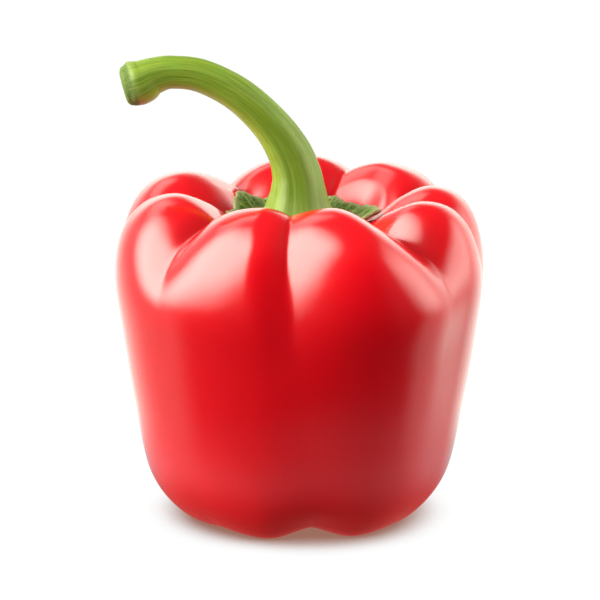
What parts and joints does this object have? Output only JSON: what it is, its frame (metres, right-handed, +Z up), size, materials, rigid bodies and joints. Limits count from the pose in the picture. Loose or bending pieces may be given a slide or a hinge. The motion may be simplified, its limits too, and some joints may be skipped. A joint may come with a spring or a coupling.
{
  "type": "bell pepper",
  "caption": "Whole ripe red bell pepper with a blocky lobed fruit, a ragged green calyx in the top hollow and a thick curved stem with a swollen cut end.",
  "frame": {"origin": "on the surface that the pepper stands on, under the middle of its bounding box", "axes": "+Z up through the stem cavity, the stem's cut end towards -X, the two front half lobes towards -Y"},
  "size_m": [0.086, 0.0832, 0.1089],
  "materials": {
    "fruit_skin": "glossy waxy ripe red skin",
    "calyx_green": "matte dark green leaf with pale veins",
    "stem_green": "satin light green, finely ribbed along its length"
  },
  "bodies": {
    "root": {"fruit": "fruit_skin", "calyx": "calyx_green", "stem": "stem_green"}
  },
  "joints": []
}
